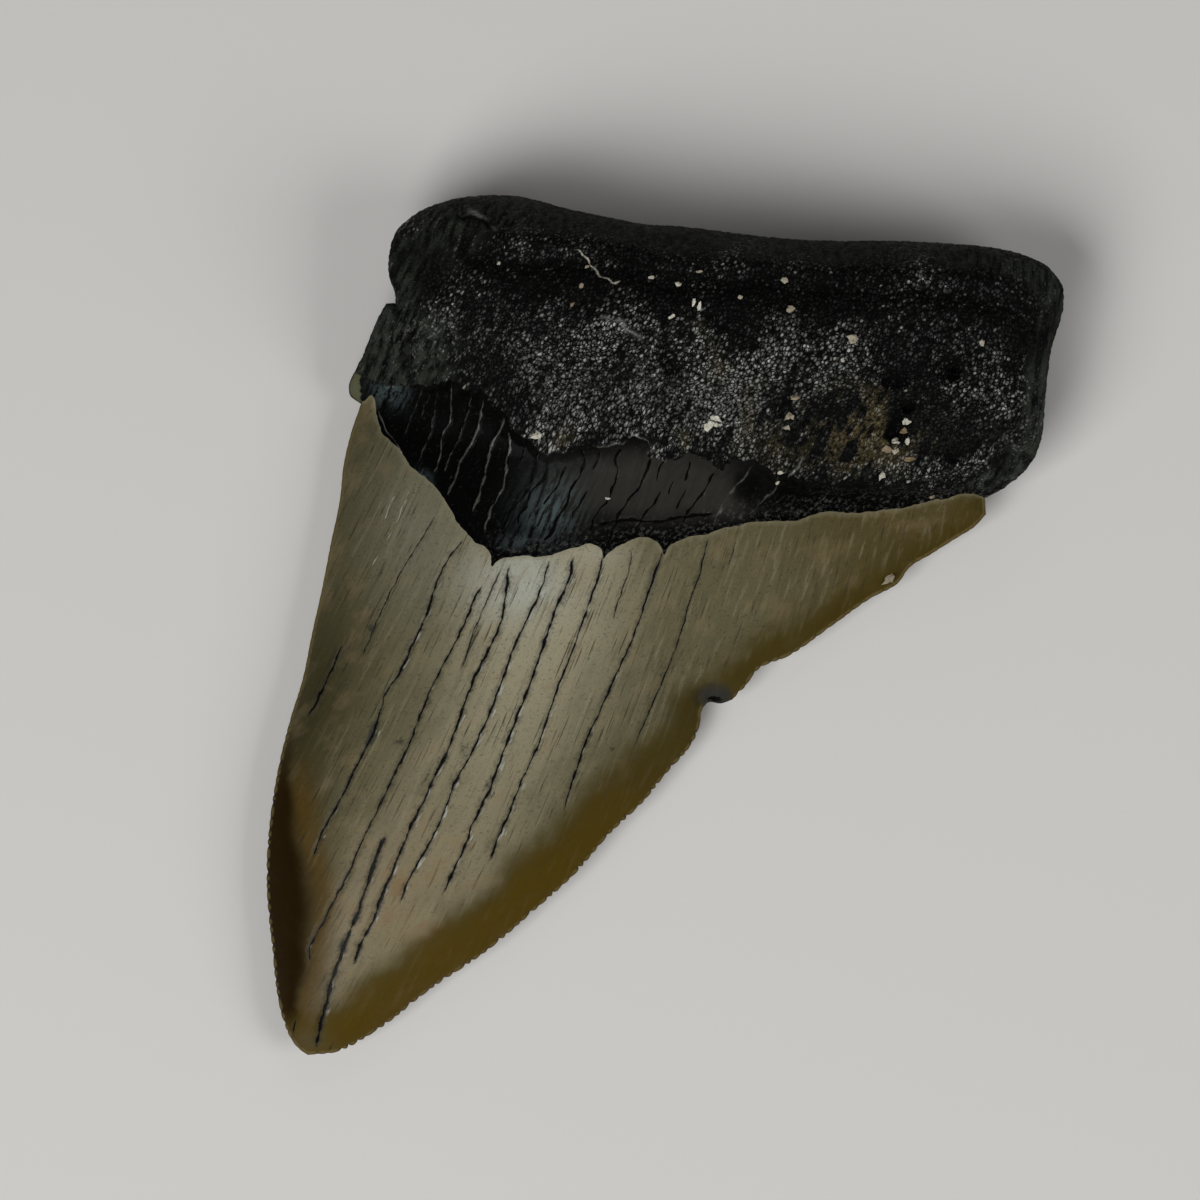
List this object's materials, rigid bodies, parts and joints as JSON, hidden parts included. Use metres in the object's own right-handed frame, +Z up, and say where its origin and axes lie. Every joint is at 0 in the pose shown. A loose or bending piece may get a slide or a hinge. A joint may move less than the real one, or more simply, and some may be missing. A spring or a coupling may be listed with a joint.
{
  "type": "fossil megalodon tooth",
  "caption": "Fossil shark tooth with a serrated triangular enamel crown, a dark chevron band at the neck and a thick pebbled root; lies flat on its labial face.",
  "frame": {"origin": "middle of the bounding box in plan, on the surface that the tooth lies on", "axes": "+X to the right, +Y from the crown's tip towards the root, +Z up, out of the swollen lingual face"},
  "size_m": [0.0596, 0.0644, 0.0163],
  "materials": {
    "fossil_tooth": "satin olive-grey enamel on the crown, glossy black neck band, matt black pebbled root"
  },
  "bodies": {
    "root": {"tooth": "fossil_tooth"}
  },
  "joints": []
}
